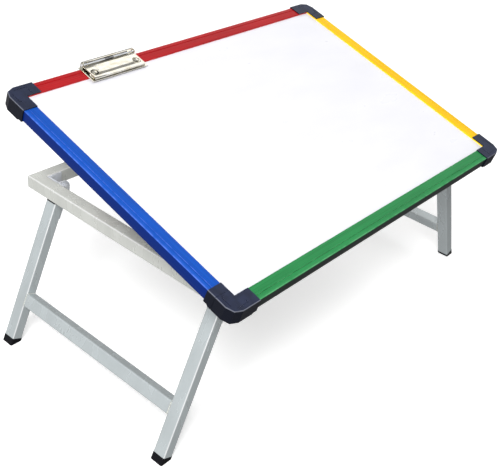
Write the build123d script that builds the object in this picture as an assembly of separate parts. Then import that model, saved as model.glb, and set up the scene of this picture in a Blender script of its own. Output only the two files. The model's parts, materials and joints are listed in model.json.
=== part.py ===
from build123d import *
import math
import os

# Portable drawing board: a framed white board on a low steel frame with two folding H-shaped legs.
# X runs along the long rails, Y from the user's edge to the far edge, Z up. Lengths are millimetres.
# The origin is the middle of the outline on the floor.

# board
PANEL_X = 570.0            # panel between the rails
PANEL_Y = 380.0
RAIL_W = 20.0
RAIL_H = 16.0
RAIL_WALL = 1.4
LIP_T = 2.2                # rail lip over the edge of the panel
RAIL_EDGE = 2.2            # round of the rail's outer top edge
PANEL_GRIP = 8.0           # how far the panel enters the rail
SHEET_T = 1.0
CORE_T = 4.5
BACKING_T = 1.0
GROOVE_W = 13.0            # line in the rail's top, from the inner edge
CAP_ARM = 22.0             # corner cap, past the inner corner along each rail
CAP_SIDE = 2.0             # cap wall outside the rail
CAP_TOP = 1.4
CAP_BOTTOM = 3.5
CAP_ROUND = 9.0
CAP_EDGE = 1.9             # round of the cap's outer top edges
SCREW_R = 1.5              # corner and bracket screws
SCREW_BORE_R = 1.6
SCREW_HEAD_R = 3.0
SCREW_SINK = 2.2           # depth of the pocket for a corner screw's head
SCREW_SINK_R = 3.3
TILT = 16.33               # board in use

# base frame and legs
TUBE = 19.0
TUBE_WALL = 1.2
TUBE_ROUND = 2.0
BASE_X = 541.4
BASE_Y = 389.0
FRAME_TOP = 223.1
RAIL_BOTTOM = FRAME_TOP - TUBE
LEG_T = 16.0               # leg tube across, seen from the front
SPLAY = 23.2
LEG_TOP_X = 265.4          # outer face of a leg where it meets the frame
FRONT_LEG_Y = -156.5
BACK_LEG_Y = 149.5
LEG_PLUG = 4.5
FOOT_JOINT = 210.5         # along the leg's outer face
FOOT_PROUD = 0.3
FOOT_STEM = 14.0
FOOT_EDGE = 1.0            # round of the sole's edge
PLUG_STEM = 16.0           # plug's stem ends this far below the frame
CROSSBAR_AT = 149.0
STOP_GAP = 0.3

# leg pivots
PIVOT_X = 242.5
PIVOT_Z = 213.0
EAR_R = 9.5
LUG_R = 6.5
PLATE_T = 2.0
BRACKET_WING = 22.0        # pivot bracket's wing, along the end tube of the frame
BOLT_R = 3.0
BOLT_HOLE_R = 3.05
HEX_FLATS = 10.0
HEX_H = 4.0
NUT_H = 5.0
LUG_LONG = 26.0            # lug's base plate, along the leg
LUG_WIDE = 16.0

# board hinge, prop and guides
HINGE_Y = -201.5
HINGE_Z = 224.3
HINGE_AT = 200.0
HINGE_LONG = 50.0
HINGE_PIN_R = 1.5
KNUCKLE_R = 3.4
LEAF_T = 1.8
BASE_LEAF_W = 25.0
BOARD_LEAF_V = (-11.0, 9.0)
BOARD_V = 8.2              # board's inner front edge behind the hinge line, along the board
BOARD_N = 21.3             # rail tops above the hinge line, square to the board
PROP_FROM_HINGE = 225.0
PROP_DROP = 4.8            # prop pivot below the hinge line when the board is flat
PROP_LEAN = 55.0           # prop arms from upright, board in use
PROP_ARM_W = 12.0
PROP_ARM_T = 3.0
PROP_AT = 143.5
FOOT_ROD_R = 3.0
GUIDE_AT = 150.0
GUIDE_T = 3.0
GUIDE_Z = (212.4, 227.0)
SLOT_H = 8.0
SLOT_DIP = 0.64            # the rod's path sags by twice this in mid-travel
KNOB_R = 6.5
KNOB_LONG = 10.0
KNOB_FLUTES = 12
FLUTE_R = 1.1
PROP_PIN_R = 2.5
PROP_PIN_HEAD_R = 4.0
BRACKET_T = 2.0
BRACKET_LEG = 20.0         # flange, along X
BRACKET_HALF = 14.0        # half the flange's length
BRACKET_ROOT = 9.0         # half the ear's width at the flange
BRACKET_EAR_R = 6.5
BRACKET_WAIST = 8.0        # where the ear narrows, above the pivot
BRACKET_SCREW_V = 8.0      # screws either side of the pivot
BRACKET_SCREW_X = 12.0     # and this far from the ear
HINGE_SCREW_X = 16.0       # screws either side of a hinge's middle
HINGE_SCREW_R = 1.6
HINGE_SCREW_HEAD_R = 3.1
BUFFER_R = 4.5
BUFFER_H = 6.3
BUFFER_Y = 187.0

# clip on the far rail
CLIP_U = -137.5
CLIP_LONG = 89.0
CLIP_BASE_LONG = 98.0
CLIP_PIN_V = 400.0
CLIP_PIN_N = 5.8
ROLL_R = 4.5
CLIP_PLATE_N = 3.2
CLIP_FRONT_V = 371.5
CLIP_RIVET_V = 383.0
CLIP_RIVET_SPACING = 74.0
CLIP_SHEET = 1.0
CLIP_HOLE_R = 5.6          # holes in the lever round the rivet heads
PIN_R = 1.5
RIVET_R = 2.0
RIVET_HEAD_R = 4.0
RIVET_SHOULDER = 4.4       # where the rivet's straight side ends
RIVET_TOP = 5.95
COIL_R = 2.3
COIL_PITCH = 1.6
COIL_LONG = 16.0
WIRE_R = 0.4


def box(low, high):
    """Box between two opposite corners."""
    size = [b - a for a, b in zip(low, high)]
    mid = [(a + b) / 2 for a, b in zip(low, high)]
    return Pos(*mid) * Box(*size)


def rod(axis, at, start, end, radius):
    """Cylinder along X, Y or Z, centred on the other two coordinates."""
    length = end - start
    mid = (start + end) / 2
    if axis == "X":
        return Pos(mid, at[0], at[1]) * Rot(0, 90, 0) * Cylinder(radius, length)
    if axis == "Y":
        return Pos(at[0], mid, at[1]) * Rot(90, 0, 0) * Cylinder(radius, length)
    return Pos(at[0], at[1], mid) * Cylinder(radius, length)


def hexagon(at, start, end, across_flats):
    """Hexagonal prism along Y."""
    prism = extrude(RegularPolygon(across_flats / 2, 6, major_radius=False), end - start)
    return Pos(at[0], start, at[1]) * Rot(-90, 0, 0) * prism


def group(solids):
    return Compound(children=list(solids))


def square_tube(width, height, length):
    """Hollow tube along Z, centred on its axis."""
    outside = RectangleRounded(width, height, TUBE_ROUND)
    inside = Rectangle(width - 2 * TUBE_WALL, height - 2 * TUBE_WALL)
    return extrude(outside - inside, length)


def mirror_x(shape):
    return mirror(shape, about=Plane.YZ)


# ---- frames of reference
BOARD = Pos(0, HINGE_Y, HINGE_Z) * Rot(TILT, 0, 0) * Pos(0, BOARD_V, BOARD_N)
LEFT_LEG = Pos(-LEG_TOP_X, 0, RAIL_BOTTOM) * Rot(0, SPLAY, 0)
HALF_X = PANEL_X / 2
PANEL_T = SHEET_T + CORE_T + BACKING_T
PANEL_UNDER = -LIP_T - PANEL_T

parts = {}


# ---- board: panel, rails, corner caps. In the board's frame u is X, v runs up the board, n is out of it.
def panel_layer(top, thickness):
    grip = PANEL_GRIP - 0.5
    return box((-HALF_X - grip, -grip, top - thickness), (HALF_X + grip, PANEL_Y + grip, top))


def rail_bar(length):
    """Rail along X with its inner edge on Y = 0, its body towards -Y and its top at Z = 0."""
    outline = Polyline((0, 0), (0, -RAIL_H), (-RAIL_W, -RAIL_H), (-RAIL_W, 0), close=True)
    face = make_face(outline)
    top_outer = face.vertices().sort_by(Axis.X)[0:2].sort_by(Axis.Y)[-1]
    face = fillet(top_outer, RAIL_EDGE)
    slot_high = -LIP_T
    slot_low = PANEL_UNDER
    slot = Pos(-PANEL_GRIP / 2, (slot_high + slot_low) / 2) * Rectangle(PANEL_GRIP, slot_high - slot_low)
    shelf = slot_low - RAIL_WALL
    floor = -RAIL_H + RAIL_WALL
    low_w = RAIL_W - 2 * RAIL_WALL
    low = Pos(-RAIL_W / 2, (shelf + floor) / 2) * Rectangle(low_w, shelf - floor)
    high_w = RAIL_W - PANEL_GRIP - 2 * RAIL_WALL
    high_x = -RAIL_W + RAIL_WALL + high_w / 2
    high = Pos(high_x, (floor - RAIL_WALL * 1.6) / 2) * Rectangle(high_w, -RAIL_WALL * 1.6 - floor)
    groove = Pos(-GROOVE_W, 0) * Rot(0, 0, 45) * Rectangle(0.8, 0.8)
    face = face - slot - low - high - groove
    return Pos(-length / 2, 0, 0) * (Plane.YZ * extrude(face, length))


def corner_cap(screw_holes):
    """Cap of the corner at the origin, for rails along +X and +Y."""
    out = RAIL_W + CAP_SIDE
    wide = RAIL_W + CAP_SIDE + CAP_ARM
    arm_x = Pos(wide / 2 - out, -out / 2) * Rectangle(wide, out)
    arm_y = Pos(-out / 2, wide / 2 - out) * Rectangle(out, wide)
    plan = arm_x + arm_y
    corner = plan.vertices().sort_by_distance((-out, -out))[0]
    plan = fillet(corner, CAP_ROUND)
    depth = RAIL_H + CAP_TOP + CAP_BOTTOM
    body = Pos(0, 0, -RAIL_H - CAP_BOTTOM) * extrude(plan, depth)
    top_edges = body.faces().sort_by(Axis.Z)[-1].edges()
    outer = [e for e in top_edges if min(e.center().X, e.center().Y) < -RAIL_W]
    body = fillet(outer, CAP_EDGE)
    grip = PANEL_GRIP + 0.1
    body -= box((0, -RAIL_W, -RAIL_H), (CAP_ARM + 1, 0.1, 0))
    body -= box((-RAIL_W, 0, -RAIL_H), (0.1, CAP_ARM + 1, 0))
    body -= box((-grip, -grip, PANEL_UNDER), (CAP_ARM + 1, CAP_ARM + 1, -LIP_T))
    under = -RAIL_H - CAP_BOTTOM
    for x, y in screw_holes:
        body -= rod("Z", (x, y), under - 1, -RAIL_H + 1, SCREW_BORE_R)
        body -= rod("Z", (x, y), under - 1, under + SCREW_SINK, SCREW_SINK_R)
    return body


def corner_screw(x, y):
    head_low = -RAIL_H - CAP_BOTTOM + 0.4
    head_high = -RAIL_H - CAP_BOTTOM + SCREW_SINK
    screw = rod("Z", (x, y), head_low, head_high, SCREW_HEAD_R)
    screw += rod("Z", (x, y), head_high - 0.1, -RAIL_H + RAIL_WALL + 1.5, SCREW_R)
    slot = box((x - 2.2, y - 0.4, head_low - 1), (x + 2.2, y + 0.4, head_low + 0.9))
    return screw - slot


parts["writing_sheet"] = BOARD * panel_layer(-LIP_T, SHEET_T)
parts["panel_core"] = BOARD * panel_layer(-LIP_T - SHEET_T, CORE_T)
parts["backing_sheet"] = BOARD * panel_layer(-LIP_T - SHEET_T - CORE_T, BACKING_T)

SCREW_AT = ((12.0, -11.0), (-11.0, 12.0))
CORNERS = {
    "corner_front_left": Pos(-HALF_X, 0, 0),
    "corner_front_right": Pos(HALF_X, 0, 0) * Rot(0, 0, 90),
    "corner_back_right": Pos(HALF_X, PANEL_Y, 0) * Rot(0, 0, 180),
    "corner_back_left": Pos(-HALF_X, PANEL_Y, 0) * Rot(0, 0, -90),
}
screws = []
screw_bores = []
for name, place in CORNERS.items():
    parts[name] = BOARD * place * corner_cap(SCREW_AT)
    for spot in SCREW_AT:
        screws.append(BOARD * place * corner_screw(*spot))
        screw_bores.append(place * rod("Z", spot, -RAIL_H - 1, -RAIL_H + RAIL_WALL + 1, SCREW_R + 0.05))
parts["corner_screws"] = group(screws)

RAILS = {
    "rail_front_green": rail_bar(PANEL_X),
    "rail_back_red": Pos(0, PANEL_Y, 0) * Rot(0, 0, 180) * rail_bar(PANEL_X),
    "rail_left_blue": Pos(-HALF_X, PANEL_Y / 2, 0) * Rot(0, 0, -90) * rail_bar(PANEL_Y),
    "rail_right_yellow": Pos(HALF_X, PANEL_Y / 2, 0) * Rot(0, 0, 90) * rail_bar(PANEL_Y),
}
for bore in screw_bores:
    for name in RAILS:
        RAILS[name] -= bore

# ---- clip on the far rail, in the board's frame
rivet_us = [CLIP_U - CLIP_RIVET_SPACING / 2, CLIP_U + CLIP_RIVET_SPACING / 2]
clip_half = CLIP_LONG / 2
cheek_u = clip_half + 1.0


def clip_lever():
    """Sprung plate: back roll round the pin, a shallow trough, the flat plate and the jaw lip."""
    roll = Circle(ROLL_R) - Circle(ROLL_R - CLIP_SHEET)
    opening = Pos(-ROLL_R, 0.2) * Rectangle(2 * ROLL_R, 1.8)
    roll = Pos(CLIP_PIN_V, CLIP_PIN_N) * (roll - opening)
    plate_back = CLIP_PIN_V - ROLL_R + 0.6
    plate_front = CLIP_FRONT_V + CLIP_SHEET
    plate_v = (plate_front + plate_back) / 2
    plate_n = CLIP_PLATE_N + CLIP_SHEET / 2
    plate = Pos(plate_v, plate_n) * Rectangle(plate_back - plate_front, CLIP_SHEET)
    lip_low = CLIP_SHEET + 0.5
    lip_high = CLIP_PLATE_N + CLIP_SHEET
    lip_v = CLIP_FRONT_V + CLIP_SHEET / 2
    lip = Pos(lip_v, (lip_low + lip_high) / 2) * Rectangle(CLIP_SHEET, lip_high - lip_low)
    profile = roll + plate + lip
    lever = Pos(CLIP_U - clip_half, 0, 0) * (Plane.YZ * extrude(profile, CLIP_LONG))
    for u in rivet_us:
        lever -= rod("Z", (u, CLIP_RIVET_V), 0, 8, CLIP_HOLE_R)
    for side in (-1, 1):
        inner = CLIP_U + side * (clip_half - CLIP_SHEET)
        outer = CLIP_U + side * clip_half
        span = sorted((inner, outer))
        eye = rod("X", (CLIP_PIN_V, CLIP_PIN_N), span[0], span[1], ROLL_R - 0.9)
        lever += eye
    lever -= rod("X", (CLIP_PIN_V, CLIP_PIN_N), CLIP_U - clip_half - 1, CLIP_U + clip_half + 1, PIN_R + 0.06)
    return lever


def clip_base():
    """Lower plate under the lever, with two cheeks that hold the pin."""
    base_half = CLIP_BASE_LONG / 2
    back = CLIP_PIN_V + 3.0
    plate = box((CLIP_U - base_half, CLIP_FRONT_V - 1.5, 0), (CLIP_U + base_half, back, CLIP_SHEET))
    front = plate.edges().filter_by(Axis.Z).sort_by(Axis.Y)[0:2]
    plate = fillet(front, 2.0)
    for side in (-1, 1):
        a = CLIP_U + side * (clip_half + 0.3)
        b = CLIP_U + side * (clip_half + 1.5)
        span = sorted((a, b))
        plate += rod("X", (CLIP_PIN_V, CLIP_PIN_N), span[0], span[1], 3.0)
        plate += box((span[0], CLIP_PIN_V - 3.0, 0.5), (span[1], back, CLIP_PIN_N))
    plate -= rod("X", (CLIP_PIN_V, CLIP_PIN_N), CLIP_U - base_half, CLIP_U + base_half, PIN_R)
    for u in rivet_us:
        plate -= rod("Z", (u, CLIP_RIVET_V), -1, 2, RIVET_R + 0.05)
    return plate


def clip_rivet(u):
    """Domed rivet through the lower plate and the rail's lip."""
    head = rod("Z", (u, CLIP_RIVET_V), CLIP_SHEET, RIVET_SHOULDER, RIVET_HEAD_R)
    dome = Pos(u, CLIP_RIVET_V, 0) * Sphere(RIVET_TOP)
    dome = dome & rod("Z", (u, CLIP_RIVET_V), RIVET_SHOULDER, RIVET_TOP + 1, RIVET_HEAD_R)
    return head + dome + rod("Z", (u, CLIP_RIVET_V), -LIP_T + 0.1, CLIP_SHEET + 0.2, RIVET_R)


parts["clip_lever"] = BOARD * clip_lever()
parts["clip_base"] = BOARD * clip_base()
parts["clip_rivets"] = BOARD * group(clip_rivet(u) for u in rivet_us)
pin_half = clip_half + 2.2
parts["clip_pin"] = BOARD * rod("X", (CLIP_PIN_V, CLIP_PIN_N), CLIP_U - pin_half, CLIP_U + pin_half, PIN_R)
coil_path = Helix(pitch=COIL_PITCH, height=COIL_LONG, radius=COIL_R)
coil_wire = sweep(Plane(coil_path @ 0, z_dir=coil_path % 0) * Circle(WIRE_R), coil_path)
coil_place = Pos(CLIP_U - COIL_LONG / 2, CLIP_PIN_V, CLIP_PIN_N) * Rot(0, 90, 0)
parts["clip_spring"] = BOARD * coil_place * coil_wire
for u in rivet_us:
    RAILS["rail_back_red"] -= rod("Z", (u, CLIP_RIVET_V), -LIP_T - 0.05, 1, RIVET_R + 0.05)

for name, shape in RAILS.items():
    parts[name] = BOARD * shape


# ---- base frame: four mitred tubes
def mitred_tube(length):
    """Tube along X, outer long edge on Y = 0 side, ends cut at 45 degrees."""
    tube = Pos(-length / 2, TUBE / 2, 0) * Rot(0, 90, 0) * square_tube(TUBE, TUBE, length)
    for side in (-1, 1):
        wedge = Polyline((0, 0), (TUBE + 1, TUBE + 1), (-5, TUBE + 1), (-5, 0), close=True)
        cutter = Pos(0, 0, -TUBE) * extrude(make_face(wedge), 2 * TUBE)
        if side > 0:
            cutter = mirror_x(cutter)
        tube -= Pos(side * length / 2, 0, 0) * cutter
    return tube


FRAME_Z = FRAME_TOP - TUBE / 2
parts["frame_front_tube"] = Pos(0, -BASE_Y / 2, FRAME_Z) * mitred_tube(BASE_X)
parts["frame_back_tube"] = Pos(0, BASE_Y / 2, FRAME_Z) * Rot(0, 0, 180) * mitred_tube(BASE_X)
parts["frame_left_tube"] = Pos(-BASE_X / 2, 0, FRAME_Z) * Rot(0, 0, -90) * mitred_tube(BASE_Y)
parts["frame_right_tube"] = Pos(BASE_X / 2, 0, FRAME_Z) * Rot(0, 0, 90) * mitred_tube(BASE_Y)


# ---- prop: two arms from brackets under the board to a rod in the slotted guides
def prop_pivot(tilt):
    """Prop pivot on the board, for a tilt in degrees."""
    a = math.radians(tilt)
    y = HINGE_Y + PROP_FROM_HINGE * math.cos(a) + PROP_DROP * math.sin(a)
    z = HINGE_Z + PROP_FROM_HINGE * math.sin(a) - PROP_DROP * math.cos(a)
    return y, z


pivot_y, pivot_z = prop_pivot(TILT)
ROD_Z = HINGE_Z - PROP_DROP
PROP_LONG = (pivot_z - ROD_Z) / math.cos(math.radians(PROP_LEAN))
rod_y = pivot_y + PROP_LONG * math.sin(math.radians(PROP_LEAN))
flat_y = prop_pivot(0)[0] + PROP_LONG
bar_inner_x = GUIDE_AT + GUIDE_T / 2 + 0.4

arm_shape = SlotCenterToCenter(PROP_LONG, PROP_ARM_W)
arm_shape -= Pos(-PROP_LONG / 2, 0) * Circle(PROP_PIN_R + 0.05)
arm_shape -= Pos(PROP_LONG / 2, 0) * Circle(FOOT_ROD_R)
arm = Plane.YZ * extrude(arm_shape, PROP_ARM_T)
arm_turn = Rot(PROP_LEAN - 90, 0, 0)
arm = Pos(0, (pivot_y + rod_y) / 2, (pivot_z + ROD_Z) / 2) * arm_turn * arm
parts["prop_arm_left"] = Pos(-PROP_AT - PROP_ARM_T / 2, 0, 0) * arm
parts["prop_arm_right"] = Pos(PROP_AT - PROP_ARM_T / 2, 0, 0) * arm
rod_half = bar_inner_x + KNOB_LONG - 1.0
parts["prop_foot_rod"] = rod("X", (rod_y, ROD_Z), -rod_half, rod_half, FOOT_ROD_R)


def knob(side):
    """Clamp knob on the rod's end, with shallow flutes."""
    a = side * bar_inner_x
    b = side * (bar_inner_x + KNOB_LONG)
    span = sorted((a, b))
    body = rod("X", (rod_y, ROD_Z), span[0], span[1], KNOB_R)
    for k in range(KNOB_FLUTES):
        turn = 2 * math.pi * k / KNOB_FLUTES
        y = rod_y + (KNOB_R + 0.5) * math.cos(turn)
        z = ROD_Z + (KNOB_R + 0.5) * math.sin(turn)
        body -= rod("X", (y, z), span[0] - 1, span[1] + 1, FLUTE_R)
    hole = sorted((a, side * rod_half))
    return body - rod("X", (rod_y, ROD_Z), hole[0] - 0.5, hole[1], FOOT_ROD_R)


parts["prop_knobs"] = group([knob(-1), knob(1)])

# brackets under the panel that carry the arms, in the board's frame
BRACKET_V = PROP_FROM_HINGE - BOARD_V
BRACKET_N = -BOARD_N - PROP_DROP
ear_x = PROP_AT - PROP_ARM_T / 2 - 0.3
bracket_screw_x = ear_x - BRACKET_SCREW_X
bracket_screw_vs = (BRACKET_V - BRACKET_SCREW_V, BRACKET_V + BRACKET_SCREW_V)


def prop_bracket():
    """Right-hand angle bracket: flange on the backing, ear beside the arm."""
    inner_x = ear_x - BRACKET_T
    flange_low = PANEL_UNDER - BRACKET_T
    near = BRACKET_V - BRACKET_HALF
    far = BRACKET_V + BRACKET_HALF
    flange = box((ear_x - BRACKET_LEG, near, flange_low), (ear_x, far, PANEL_UNDER))
    root_v = BRACKET_V - BRACKET_ROOT
    ear = box((inner_x, root_v, BRACKET_N), (ear_x, root_v + 2 * BRACKET_ROOT, PANEL_UNDER))
    ear += rod("X", (BRACKET_V, BRACKET_N), inner_x, ear_x, BRACKET_EAR_R)
    low = BRACKET_N - BRACKET_EAR_R - 1
    high = BRACKET_N + BRACKET_WAIST
    for side in (-1, 1):
        a = BRACKET_V + side * BRACKET_EAR_R
        b = BRACKET_V + side * (BRACKET_ROOT + 0.5)
        ear -= box((inner_x - 1, min(a, b), low), (ear_x + 1, max(a, b), high))
    bracket = flange + ear
    bracket -= rod("X", (BRACKET_V, BRACKET_N), inner_x - 1, ear_x + 1, PROP_PIN_R)
    for v in bracket_screw_vs:
        bracket -= rod("Z", (bracket_screw_x, v), flange_low - 1, PANEL_UNDER + 1, SCREW_BORE_R)
    return bracket


def prop_screw(v):
    flange_low = PANEL_UNDER - BRACKET_T
    shank = rod("Z", (bracket_screw_x, v), flange_low - 0.1, PANEL_UNDER, SCREW_R)
    return shank + rod("Z", (bracket_screw_x, v), flange_low - 1.8, flange_low, SCREW_HEAD_R)


def prop_pin():
    inner_x = ear_x - BRACKET_T
    outer_x = PROP_AT + PROP_ARM_T / 2 + 0.3
    pivot = (BRACKET_V, BRACKET_N)
    shank = rod("X", pivot, inner_x, outer_x, PROP_PIN_R)
    inner = rod("X", pivot, inner_x - 2.0, inner_x, PROP_PIN_HEAD_R)
    return shank + inner + rod("X", pivot, outer_x, outer_x + 1.8, PROP_PIN_HEAD_R)


def both_sides(shape):
    return group([shape, mirror_x(shape)])


parts["prop_brackets"] = BOARD * both_sides(prop_bracket())
screw_pair = [prop_screw(v) for v in bracket_screw_vs]
parts["prop_bracket_screws"] = BOARD * group(screw_pair + [mirror_x(s) for s in screw_pair])
parts["prop_pivot_pins"] = BOARD * both_sides(prop_pin())

# guides: flat bars on edge between the front and back tubes, each with one long slot
inner_y = BASE_Y / 2 - TUBE
guide = box((GUIDE_AT - GUIDE_T / 2, -inner_y, GUIDE_Z[0]), (GUIDE_AT + GUIDE_T / 2, inner_y, GUIDE_Z[1]))
slot_z = ROD_Z - SLOT_DIP
slot_long = flat_y - rod_y + SLOT_H + 1.0
slot_cut = Plane.YZ * extrude(SlotOverall(slot_long, SLOT_H), GUIDE_T + 2)
guide -= Pos(GUIDE_AT - GUIDE_T / 2 - 1, (rod_y + flat_y) / 2, slot_z) * slot_cut
parts["guide_bar_right"] = guide
parts["guide_bar_left"] = mirror_x(guide)

buffer = rod("Z", (GUIDE_AT, BUFFER_Y), FRAME_TOP, FRAME_TOP + BUFFER_H, BUFFER_R)
buffer = fillet(buffer.edges().sort_by(Axis.Z)[-1], 1.0)
parts["rest_buffers"] = both_sides(buffer)


# ---- board hinges: leaf on the front tube, leaf under the green rail, pin through five knuckles
def knuckles(first):
    """Alternate fifths of the barrel, starting with the first or the second."""
    rings = []
    for k in range(first, 5, 2):
        start = HINGE_AT - HINGE_LONG / 2 + k * knuckle_step + 0.15
        end = start + knuckle_step - 0.3
        ring = rod("X", (HINGE_Y, HINGE_Z), start, end, KNUCKLE_R)
        rings.append(ring - rod("X", (HINGE_Y, HINGE_Z), start - 1, end + 1, HINGE_PIN_R + 0.05))
    return rings


def hinge_screws(place, y, top):
    """Two countersunk screws, heads up, with their holes."""
    heads = []
    holes = []
    hole_r = HINGE_SCREW_R + 0.05
    for dx in (-HINGE_SCREW_X, HINGE_SCREW_X):
        spot = (HINGE_AT + dx, y)
        head = Pos(spot[0], spot[1], top - 0.75) * Cone(HINGE_SCREW_R, HINGE_SCREW_HEAD_R, 1.5)
        shank = rod("Z", spot, top - 6.0, top - 1.4, HINGE_SCREW_R)
        sink = Pos(spot[0], spot[1], top - 0.7) * Cone(hole_r, HINGE_SCREW_HEAD_R + 0.1, 1.6)
        heads.append(place * (head + shank))
        holes.append(place * sink)
        holes.append(place * rod("Z", spot, top - 6.5, top - 1.3, hole_r))
    return heads, holes


half = HINGE_LONG / 2
leaf_low = FRAME_TOP
leaf_back = HINGE_Y + BASE_LEAF_W
base_leaf = box((HINGE_AT - half, HINGE_Y, leaf_low), (HINGE_AT + half, leaf_back, leaf_low + LEAF_T))
base_leaf -= rod("X", (HINGE_Y, HINGE_Z), HINGE_AT - half - 1, HINGE_AT + half + 1, KNUCKLE_R - 0.5)
knuckle_step = HINGE_LONG / 5
for k in (1, 3):
    a = HINGE_AT - half + knuckle_step * k - 0.15
    b = a + knuckle_step + 0.3
    base_leaf -= box((a, HINGE_Y - 1, leaf_low - 1), (b, HINGE_Y + KNUCKLE_R + 0.4, leaf_low + 4))
for ring in knuckles(0):
    base_leaf += ring
base_heads, base_holes = hinge_screws(Pos(0, 0, 0), HINGE_Y + 16, leaf_low + LEAF_T)
for hole in base_holes:
    base_leaf -= hole
    parts["frame_front_tube"] -= hole
    parts["frame_front_tube"] -= mirror_x(hole)
parts["hinge_leaves_frame"] = both_sides(base_leaf)
parts["hinge_screws_frame"] = group(base_heads + [mirror_x(s) for s in base_heads])
pin = rod("X", (HINGE_Y, HINGE_Z), HINGE_AT - half - 0.8, HINGE_AT + half + 0.8, HINGE_PIN_R)
parts["hinge_pins"] = both_sides(pin)

# the board's leaf, in the board's frame: hinge line at v = -BOARD_V, n = -BOARD_N
TO_BOARD = Pos(0, -BOARD_V, -BOARD_N)
leaf_top = BOARD_N - RAIL_H
leaf_v = BOARD_LEAF_V
board_leaf = box((HINGE_AT - half, leaf_v[0], leaf_top - LEAF_T), (HINGE_AT + half, leaf_v[1], leaf_top))
for k in (1, 3):
    a = HINGE_AT - half + knuckle_step * k + 0.15
    b = a + knuckle_step - 0.3
    board_leaf += box((a, -KNUCKLE_R, 0), (b, -KNUCKLE_R + LEAF_T, leaf_top - 0.5))
board_leaf = TO_BOARD * board_leaf
for ring in knuckles(1):
    local = Pos(0, -HINGE_Y, -HINGE_Z) * ring
    board_leaf -= TO_BOARD * rod("X", (0, 0), HINGE_AT - half + 0.15, HINGE_AT + half, HINGE_PIN_R + 0.05)
    board_leaf += TO_BOARD * local
leaf_under = -RAIL_H - LEAF_T
FLIP = Pos(0, 0, leaf_under) * Rot(180, 0, 0)
board_heads, board_holes = hinge_screws(FLIP, 5.0, 0)
for hole in board_holes:
    board_leaf -= hole
    parts["rail_front_green"] -= BOARD * hole
    parts["rail_front_green"] -= BOARD * mirror_x(hole)
parts["hinge_leaves_board"] = BOARD * both_sides(board_leaf)
parts["hinge_screws_board"] = BOARD * group(board_heads + [mirror_x(s) for s in board_heads])


# ---- legs. In a left leg's frame X runs inward from the outer face and Z up along the leg.
def slab(low, high):
    return box((-600, -400, low), (600, 400, high))


def leg_tube(y):
    """Leg tube, level at the top under its plug and square at the foot."""
    tube = Pos(LEG_T / 2, y, -FOOT_JOINT) * square_tube(LEG_T, TUBE, FOOT_JOINT + 20)
    return (LEFT_LEG * tube) & slab(-10, RAIL_BOTTOM - LEG_PLUG)


def leg_inside():
    """Section that pushes into a leg tube."""
    less = 2 * TUBE_WALL + 0.1
    return Rectangle(LEG_T - less, TUBE - less)


def leg_plug(y):
    """Moulded plug in the leg's open top, its flange level with the frame's underside."""
    flange = Pos(LEG_T / 2, y, -30) * extrude(RectangleRounded(LEG_T, TUBE, TUBE_ROUND), 50)
    flange = (LEFT_LEG * flange) & slab(RAIL_BOTTOM - LEG_PLUG, RAIL_BOTTOM - STOP_GAP)
    stem = Pos(LEG_T / 2, y, -25) * extrude(leg_inside(), 50)
    stem = (LEFT_LEG * stem) & slab(RAIL_BOTTOM - PLUG_STEM, RAIL_BOTTOM - LEG_PLUG + 0.1)
    return flange + stem


def leg_foot(y):
    """Wedge foot: flush cap with a level sole and a stem in the tube."""
    outer = RectangleRounded(LEG_T + 2 * FOOT_PROUD, TUBE + 2 * FOOT_PROUD, TUBE_ROUND)
    cap = Pos(LEG_T / 2, y, -FOOT_JOINT - 30) * extrude(outer, 30)
    cap = (LEFT_LEG * cap) & slab(0, 60)
    sole = cap.faces().sort_by(Axis.Z)[0].edges()
    cap = fillet(sole, FOOT_EDGE)
    stem = Pos(LEG_T / 2, y, -FOOT_JOINT - 0.1) * extrude(leg_inside(), FOOT_STEM)
    return cap + LEFT_LEG * stem


def leg_lug(y):
    """Angle lug on the leg's inner face: base plate and an ear that reaches the pivot."""
    plate = box((LEG_T, y - LUG_WIDE / 2, -LUG_LONG), (LEG_T + PLATE_T, y + LUG_WIDE / 2, 0))
    lug = LEFT_LEG * plate
    ear_y = (y - 0.5, y + 1.5)
    foot = box((LEG_T + 0.5, ear_y[0], -24), (LEG_T + 9, ear_y[1], -2))
    lug += LEFT_LEG * foot
    ear = rod("Y", (-PIVOT_X, PIVOT_Z), ear_y[0], ear_y[1], LUG_R)
    down = Polyline((LEG_T + 0.6, -8), (LEG_T + 9, -8), (LEG_T + 8.0, 17.2), (LEG_T + 0.6, 12), close=True)
    web = extrude(Plane.XZ * make_face(down), PLATE_T)
    lug += ear
    lug += LEFT_LEG * (Pos(0, ear_y[1], 0) * web)
    lug -= rod("Y", (-PIVOT_X, PIVOT_Z), y - 5, y + 5, BOLT_HOLE_R)
    return lug


def frame_bracket(y):
    """Zinc bracket in the frame's corner: a plate on each tube's inner side and a rounded ear."""
    face_x = -BASE_X / 2 + TUBE
    low = FRAME_TOP - 17.5
    high = FRAME_TOP - 0.5
    end_y = math.copysign(BASE_Y / 2 - TUBE, y)
    wing_y = end_y - math.copysign(PLATE_T, y)
    near = min(y - 8, end_y)
    far = max(y + 10, end_y)
    ear_y = (y + 1.7, y + 1.7 + PLATE_T)
    plate = box((face_x, near, low), (face_x + PLATE_T, far, high))
    plate += box((face_x, min(end_y, wing_y), low), (face_x + BRACKET_WING, max(end_y, wing_y), high))
    ear = rod("Y", (-PIVOT_X, PIVOT_Z), ear_y[0], ear_y[1], EAR_R)
    ear += box((face_x + 0.5, ear_y[0], PIVOT_Z - 7.5), (-PIVOT_X, ear_y[1], PIVOT_Z + EAR_R))
    ear -= box((face_x - 5, y - 20, FRAME_TOP - 30), (face_x, y + 20, FRAME_TOP + 5))
    return plate + ear - rod("Y", (-PIVOT_X, PIVOT_Z), y - 20, y + 20, BOLT_R)


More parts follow.
